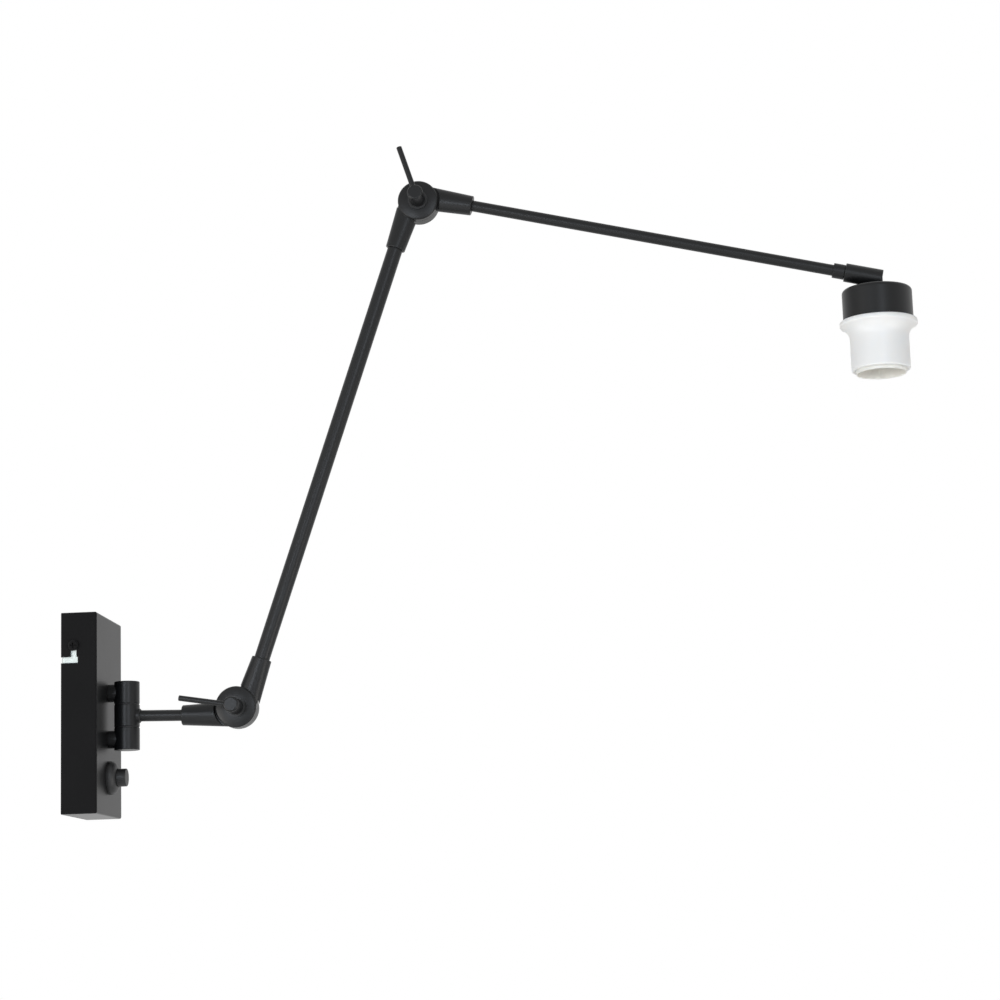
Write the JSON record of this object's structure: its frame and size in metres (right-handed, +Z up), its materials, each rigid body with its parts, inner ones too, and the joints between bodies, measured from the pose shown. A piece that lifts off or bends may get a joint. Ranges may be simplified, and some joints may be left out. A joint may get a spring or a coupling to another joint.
{
  "type": "jointed wall lamp",
  "caption": "Wall lamp with a box that hooks on a bracket, an arm hinged at the wall and at two clamped elbows, and a swivelling lampholder head.",
  "frame": {"origin": "on the wall plane, midway between the two wall screws of the hanging bracket", "axes": "+X out of the wall along the arm's resting plane, +Z up, +Y to the right of someone facing the wall"},
  "size_m": [0.6626, 0.0884, 0.5153],
  "materials": {
    "black_coat": "semi-matt black powder coat on metal",
    "black_plastic": "black moulded plastic with a satin skin",
    "washer_plastic": "dark nylon, matt",
    "zinc_steel": "bright zinc plate on steel",
    "brass_contact": "plain brass strip and bar",
    "terminal_plastic": "pale moulded plastic",
    "lead_sheath": "soft black insulation",
    "white_plastic": "white moulded plastic with a soft sheen",
    "cream_plastic": "cream heat-proof moulding",
    "carrier_plastic": "white heat-proof moulding"
  },
  "bodies": {
    "wall_mount": {"wall_bracket": "zinc_steel", "wall_box": "black_coat", "side_screws": "black_coat", "terminal_block": "terminal_plastic", "terminal_inserts": "brass_contact", "terminal_screws": "zinc_steel", "terminal_fixing_screw": "zinc_steel", "earth_washer": "zinc_steel", "earth_screw": "zinc_steel", "upper_knuckle": "black_coat", "lower_knuckle": "black_coat", "hinge_washers": "washer_plastic", "lock_washers": "zinc_steel", "hinge_nuts": "zinc_steel", "switch_body": "black_plastic", "switch_bezel": "black_plastic", "switch_tabs": "brass_contact", "switch_leads": "lead_sheath", "arm_cable_in_box": "lead_sheath"},
    "push_button": {"switch_button": "black_plastic"},
    "short_arm": {"centre_knuckle": "black_coat", "short_arm_tube": "black_coat", "short_arm_cable": "lead_sheath", "shoulder_rear_half": "black_coat", "shoulder_bolt": "zinc_steel", "shoulder_friction_washer": "washer_plastic", "shoulder_rear_plug": "black_plastic"},
    "shoulder_clamp": {"shoulder_knob": "black_coat", "shoulder_lever": "black_coat", "shoulder_thrust_washer": "washer_plastic"},
    "lower_arm": {"shoulder_front_half": "black_coat", "lower_arm_tube": "black_coat", "lower_arm_cable": "lead_sheath", "elbow_front_half": "black_coat"},
    "upper_arm": {"elbow_rear_half": "black_coat", "upper_arm_tube": "black_coat", "upper_arm_cable": "lead_sheath", "elbow_bolt": "zinc_steel", "elbow_friction_washer": "washer_plastic", "elbow_rear_plug": "black_plastic", "swivel_collar": "black_coat", "swivel_nipple": "zinc_steel"},
    "elbow_clamp": {"elbow_knob": "black_coat", "elbow_lever": "black_coat", "elbow_thrust_washer": "washer_plastic"},
    "end_swivel": {"swivel_barrel": "black_coat", "swivel_grub_screw": "zinc_steel", "tilt_pin": "black_coat"},
    "lamp_head": {"tilt_tongue": "black_coat", "head_nut": "zinc_steel", "socket_cap": "black_coat", "socket_shell": "white_plastic", "lampholder": "cream_plastic", "lampholder_dome": "cream_plastic", "contact_carrier": "carrier_plastic", "screw_shell": "brass_contact", "centre_contact": "brass_contact", "head_leads": "lead_sheath"}
  },
  "joints": [
    {"name": "wall_swing", "type": "hinge", "parent": "wall_mount", "child": "short_arm", "pos_m": [0.0412, 0, -0.0509], "axis": [0, 0, 1], "range_deg": [-90, 90]},
    {"name": "shoulder", "type": "hinge", "parent": "short_arm", "child": "lower_arm", "pos_m": [0.1271, 0, -0.04765], "axis": [0, -1, 0], "range_deg": [-70, 32]},
    {"name": "elbow", "type": "hinge", "parent": "lower_arm", "child": "upper_arm", "pos_m": [0.27692, 0, 0.34782], "axis": [0, -1, 0], "range_deg": [-60, 84]},
    {"name": "head_roll", "type": "hinge", "parent": "upper_arm", "child": "end_swivel", "pos_m": [0.61857, 0, 0.27162], "axis": [0.9726, 0, -0.2326], "range_deg": [-160, 160]},
    {"name": "head_tilt", "type": "hinge", "parent": "end_swivel", "child": "lamp_head", "pos_m": [0.63257, 0, 0.26827], "axis": [0, -1, 0], "range_deg": [-15, 75]},
    {"name": "shoulder_lock", "type": "hinge", "parent": "short_arm", "child": "shoulder_clamp", "pos_m": [0.1271, 0, -0.04765], "axis": [0, -1, 0], "range_deg": [-20, 70]},
    {"name": "elbow_lock", "type": "hinge", "parent": "upper_arm", "child": "elbow_clamp", "pos_m": [0.27692, 0, 0.34782], "axis": [0, -1, 0], "range_deg": [-20, 70]},
    {"name": "switch_press", "type": "slide", "parent": "wall_mount", "child": "push_button", "axis": [-1, 0, 0], "range_m": [0, 0.003], "stiffness_N_per_m": 400}
  ]
}
